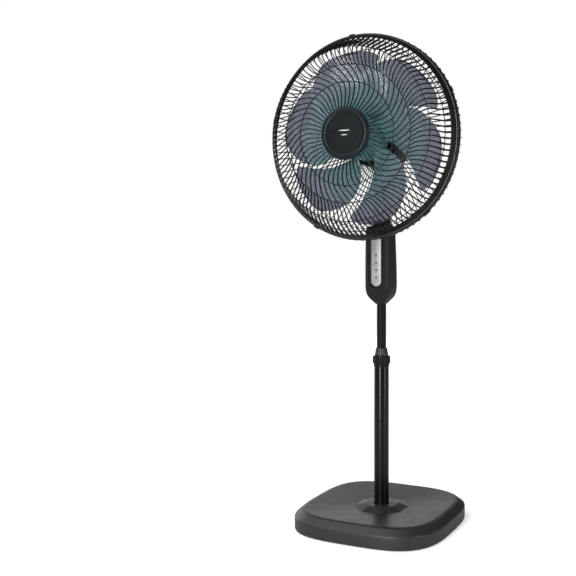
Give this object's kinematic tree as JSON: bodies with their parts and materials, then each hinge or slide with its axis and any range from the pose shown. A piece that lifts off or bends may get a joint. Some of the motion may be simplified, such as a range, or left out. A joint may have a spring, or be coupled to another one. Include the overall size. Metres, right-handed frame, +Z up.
{
  "type": "pedestal fan",
  "caption": "Pedestal fan with a square weighted base, telescopic post, slim control housing and an oscillating, tilting caged head.",
  "frame": {"origin": "on the floor, under the middle of the whole fan's outline; the post stands 7.8 mm behind it", "axes": "+Z up, front of the fan towards -Y, +X to the right of somebody looking at its front"},
  "size_m": [0.4606, 0.378, 1.1296],
  "materials": {
    "base_plastic": "satin",
    "black_plastic": "satin",
    "gloss_black": "gloss",
    "black_tube": "gloss",
    "rubber": "matte",
    "weight": "matte",
    "steel": "satin",
    "aqua_plastic": "gloss",
    "silver_panel": "satin",
    "board": "satin",
    "brass": "satin"
  },
  "bodies": {
    "stand": {"base_cover": "base_plastic", "base_plate": "black_plastic", "base_weight": "weight", "rubber_foot_1": "rubber", "rubber_foot_2": "rubber", "rubber_foot_3": "rubber", "rubber_foot_4": "rubber", "rubber_foot_5": "rubber", "rubber_foot_6": "rubber", "rubber_foot_7": "rubber", "rubber_foot_8": "rubber", "post_flange": "steel", "outer_tube": "black_tube", "clamp_bolt": "steel", "clamp_nut": "steel", "collar_body": "gloss_black"},
    "lock": {"lock_ring": "black_plastic"},
    "mast": {"inner_tube": "black_tube", "tube_bush": "black_plastic", "housing_front": "black_plastic", "housing_rear": "black_plastic", "cord_grommet": "rubber", "housing_screw_1": "steel", "housing_screw_2": "steel", "panel_tray": "gloss_black", "panel_strip": "silver_panel", "sensor_window": "gloss_black", "control_board": "board", "swivel_motor": "steel"},
    "key_1": {"button_1": "gloss_black"},
    "key_2": {"button_2": "gloss_black"},
    "key_3": {"button_3": "gloss_black"},
    "key_4": {"button_4": "gloss_black"},
    "crank": {"swivel_crank": "brass"},
    "neck": {"swivel_spindle": "steel", "spindle_clip": "steel", "swivel_neck": "black_plastic", "tilt_bolt": "steel", "tilt_nut": "steel"},
    "head": {"tilt_bracket": "black_plastic", "motor_front_cover": "black_plastic", "motor_rear_cover": "black_plastic", "front_bearing": "brass", "rear_bearing": "brass", "bearing_bracket": "steel", "motor_stator": "steel", "rear_guard": "black_plastic", "guard_nut": "black_plastic", "front_guard": "black_plastic", "guard_clip_1": "black_plastic", "guard_clip_2": "black_plastic", "guard_clip_3": "black_plastic", "guard_clip_4": "black_plastic", "guard_clip_5": "black_plastic", "guard_cap": "gloss_black", "cap_badge": "black_plastic"},
    "rotor": {"motor_rotor": "steel", "motor_shaft": "steel", "fan_blades": "aqua_plastic", "blade_nut": "black_plastic"}
  },
  "joints": [
    {"name": "lock_turn", "type": "hinge", "parent": "stand", "child": "lock", "pos_m": [0, 0.00777, 0.386], "axis": [0, 0, 1], "range_deg": [0, 70]},
    {"name": "mast_slide", "type": "slide", "parent": "stand", "child": "mast", "axis": [0, 0, 1], "range_m": [-0.1, 0.14]},
    {"name": "head_swivel", "type": "hinge", "parent": "mast", "child": "neck", "pos_m": [0, 0.00777, 0.7], "axis": [0, 0, 1], "range_deg": [-38, 38]},
    {"name": "crank_spin", "type": "hinge", "parent": "mast", "child": "crank", "pos_m": [0, 0.02028, 0.666], "axis": [0, 0, 1], "range_deg": [-107, 107]},
    {"name": "head_tilt", "type": "hinge", "parent": "neck", "child": "head", "pos_m": [0, 0.00777, 0.8], "axis": [1, 0, 0], "range_deg": [-20, 12]},
    {"name": "blade_spin", "type": "hinge", "parent": "head", "child": "rotor", "pos_m": [0, -0.10022, 0.897], "axis": [0, -1, 0], "continuous": true},
    {"name": "button_1_press", "type": "slide", "parent": "mast", "child": "key_1", "axis": [0, 1, 0], "range_m": [0, 0.001], "stiffness_N_per_m": 900},
    {"name": "button_2_press", "type": "slide", "parent": "mast", "child": "key_2", "axis": [0, 1, 0], "range_m": [0, 0.001], "stiffness_N_per_m": 900},
    {"name": "button_3_press", "type": "slide", "parent": "mast", "child": "key_3", "axis": [0, 1, 0], "range_m": [0, 0.001], "stiffness_N_per_m": 900},
    {"name": "button_4_press", "type": "slide", "parent": "mast", "child": "key_4", "axis": [0, 1, 0], "range_m": [0, 0.001], "stiffness_N_per_m": 900}
  ],
  "couplings": [
    {"joint": "crank_spin", "follows": "head_swivel", "ratio": 2.8}
  ]
}
